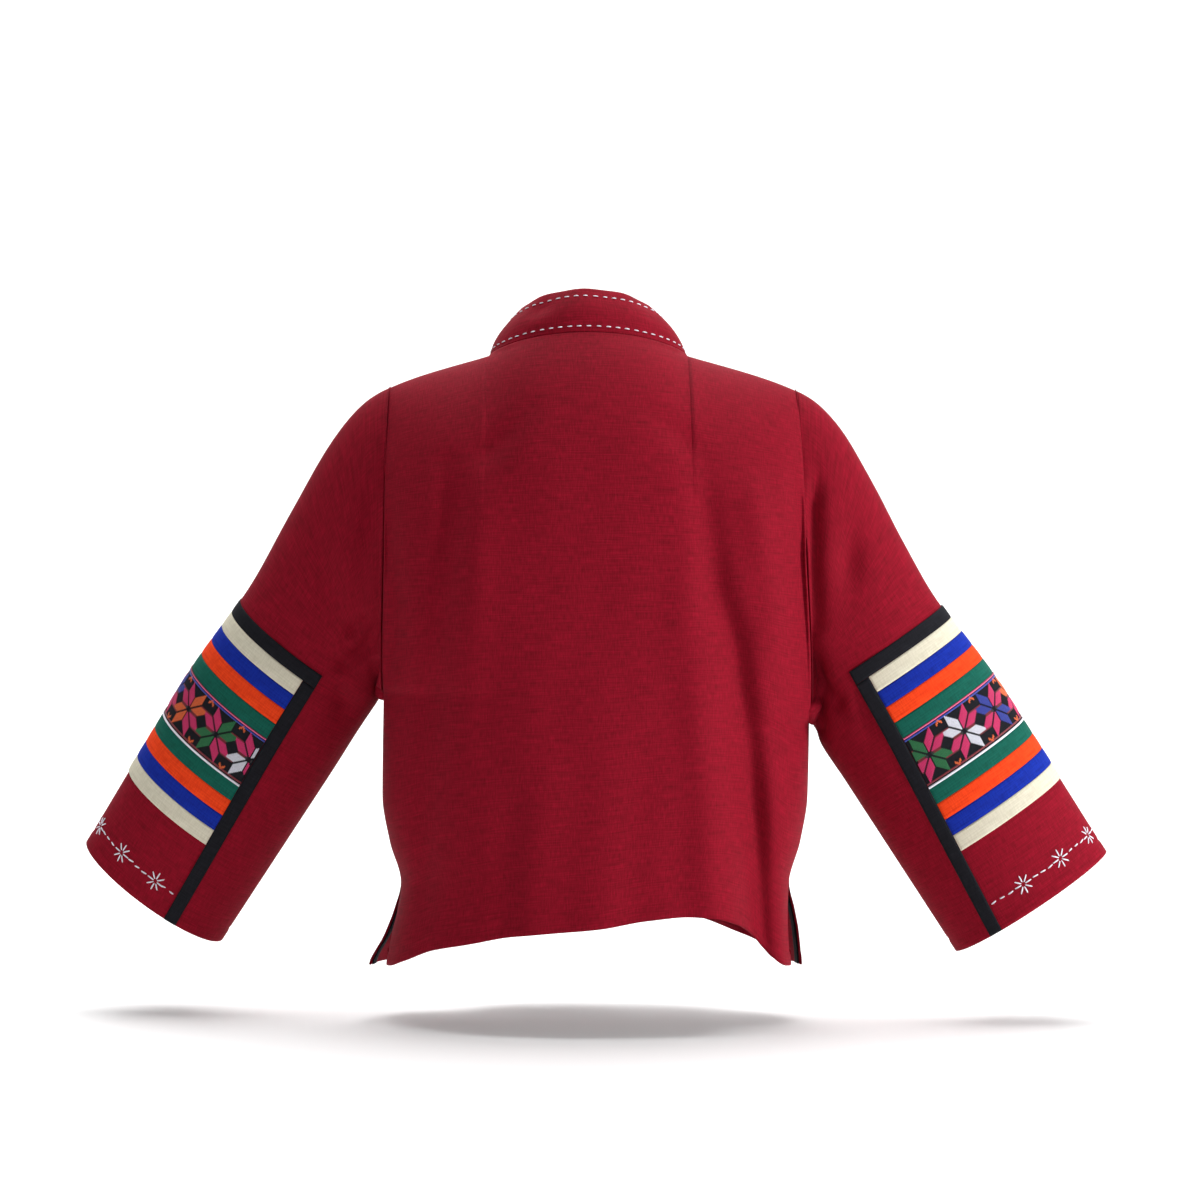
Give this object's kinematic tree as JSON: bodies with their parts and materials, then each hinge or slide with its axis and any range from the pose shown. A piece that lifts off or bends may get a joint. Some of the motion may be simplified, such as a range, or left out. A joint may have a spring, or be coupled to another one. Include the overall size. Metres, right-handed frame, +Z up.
{
  "type": "embroidered linen jacket",
  "caption": "Boxy jacket with a stand collar, side slits and wide sleeves that carry pieced stripes and a cross-stitched band, held open as when worn.",
  "frame": {"origin": "between the shoulders, level with the side of the neck, where the wearer's shoulders hold the jacket", "axes": "+Z up as worn; -Y is the front and +Y the back; +X is towards the sleeve on the left of a view from behind, along the sleeves' spread"},
  "size_m": [0.989, 0.2726, 0.6463],
  "materials": {
    "red_linen": "crimson slubbed linen, matt",
    "black_cotton": "black cotton, matt",
    "cream_cotton": "cream cotton, matt",
    "blue_cotton": "royal blue cotton, matt",
    "orange_cotton": "orange cotton, matt",
    "green_cotton": "bottle green cotton, matt",
    "cross_stitch": "cross-stitched flowers on black cloth"
  },
  "bodies": {
    "root": {"back": "red_linen", "front_left": "red_linen", "slit_facing_left": "black_cotton", "front_right": "red_linen", "slit_facing_right": "black_cotton", "collar": "red_linen", "sleeve_left": "red_linen", "stripe_cream_lower_left": "cream_cotton", "stripe_cream_upper_left": "cream_cotton", "stripe_blue_lower_left": "blue_cotton", "stripe_blue_upper_left": "blue_cotton", "stripe_orange_lower_left": "orange_cotton", "stripe_orange_upper_left": "orange_cotton", "stripe_green_lower_left": "green_cotton", "stripe_green_upper_left": "green_cotton", "embroidered_band_left": "cross_stitch", "binding_top_left": "black_cotton", "binding_back_left": "black_cotton", "binding_front_left": "black_cotton", "sleeve_right": "red_linen", "stripe_cream_lower_right": "cream_cotton", "stripe_cream_upper_right": "cream_cotton", "stripe_blue_lower_right": "blue_cotton", "stripe_blue_upper_right": "blue_cotton", "stripe_orange_lower_right": "orange_cotton", "stripe_orange_upper_right": "orange_cotton", "stripe_green_lower_right": "green_cotton", "stripe_green_upper_right": "green_cotton", "embroidered_band_right": "cross_stitch", "binding_top_right": "black_cotton", "binding_back_right": "black_cotton", "binding_front_right": "black_cotton"}
  },
  "joints": []
}
